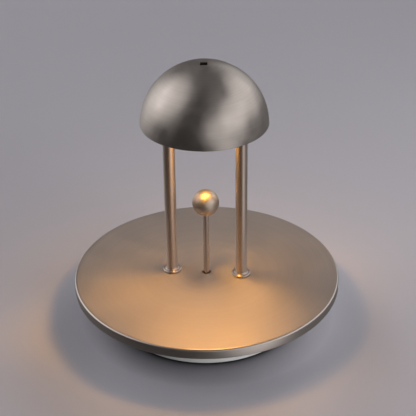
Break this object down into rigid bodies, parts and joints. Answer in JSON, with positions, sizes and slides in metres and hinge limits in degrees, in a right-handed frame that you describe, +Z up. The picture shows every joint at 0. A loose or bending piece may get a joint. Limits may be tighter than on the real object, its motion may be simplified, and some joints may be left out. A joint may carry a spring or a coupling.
{
  "type": "table lamp",
  "caption": "Round-tray table lamp with a half-dome shade on two posts and a magnetically centred ball lever as its switch.",
  "frame": {"origin": "on the table, under the lamp's axis, at the middle of the foot pad's underside", "axes": "+Z up along the lamp's axis; the two posts lie along X; -Y is the front, the charging port is at the back on +Y"},
  "size_m": [0.24, 0.24, 0.2455],
  "materials": {
    "satin_nickel": "satin warm nickel, finely brushed",
    "ball_metal": "satin warm nickel plate",
    "white_plastic": "moulded, matte",
    "grey_plastic": "moulded, matte",
    "foot_rubber": "smooth non-slip",
    "zinc_steel": "bright zinc",
    "screw_steel": "bright zinc",
    "white_paint": "satin white reflector paint",
    "bezel_paint": "satin warm nickel",
    "cast_aluminium": "extruded, plain",
    "opal_lens": "opal, lit warm",
    "led_lens": "phosphor under clear silicone",
    "board_laminate": "coated laminate",
    "chip_black": "moulded package",
    "cell_wrap": "shrink sleeve",
    "brass": "turned",
    "magnet_plate": "nickel plate",
    "cup_steel": "turned",
    "lead_sheath": "smooth sheath"
  },
  "bodies": {
    "stand": {"dome_shade": "satin_nickel", "tray": "satin_nickel", "left_post": "satin_nickel", "right_post": "satin_nickel", "left_collar": "satin_nickel", "right_collar": "satin_nickel", "base_housing": "white_plastic", "base_plate": "grey_plastic", "battery_cradle": "grey_plastic", "magnet_holder": "grey_plastic", "foot_pad": "foot_rubber", "tray_underplate": "zinc_steel", "ballast_weights": "zinc_steel", "post_washers": "zinc_steel", "post_nuts": "zinc_steel", "top_nuts": "zinc_steel", "post_nipples": "zinc_steel", "lever_bracket": "zinc_steel", "dome_tabs": "zinc_steel", "charging_port": "zinc_steel", "base_plate_screws": "screw_steel", "ballast_screws": "screw_steel", "board_screws": "screw_steel", "bracket_screws": "screw_steel", "underplate_screws": "screw_steel", "dome_screws": "screw_steel", "bezel_screws": "screw_steel", "head_plate": "white_paint", "lamp_bezel": "bezel_paint", "heat_sink": "cast_aluminium", "diffuser": "opal_lens", "led_chips": "led_lens", "control_board": "board_laminate", "led_board": "board_laminate", "sensor_board": "board_laminate", "board_chips": "chip_black", "battery_cells": "cell_wrap", "centring_magnet": "magnet_plate", "lamp_lead": "lead_sheath"},
    "gimbal": {"gimbal_ring": "brass", "gimbal_pins": "brass"},
    "lever": {"lever_rod": "satin_nickel", "lever_ball": "ball_metal", "lever_hub": "brass", "hub_pin": "brass", "magnet_cup": "cup_steel", "lever_magnet": "magnet_plate"}
  },
  "joints": [
    {"name": "lever_tilt_front_back", "type": "hinge", "parent": "stand", "child": "gimbal", "pos_m": [0, 0, 0.027], "axis": [1, 0, 0], "range_deg": [-2.5, 2.5], "stiffness_Nm_per_rad": 0.3},
    {"name": "lever_tilt_sideways", "type": "hinge", "parent": "gimbal", "child": "lever", "pos_m": [0, 0, 0.027], "axis": [0, 1, 0], "range_deg": [-2.5, 2.5], "stiffness_Nm_per_rad": 0.3}
  ]
}
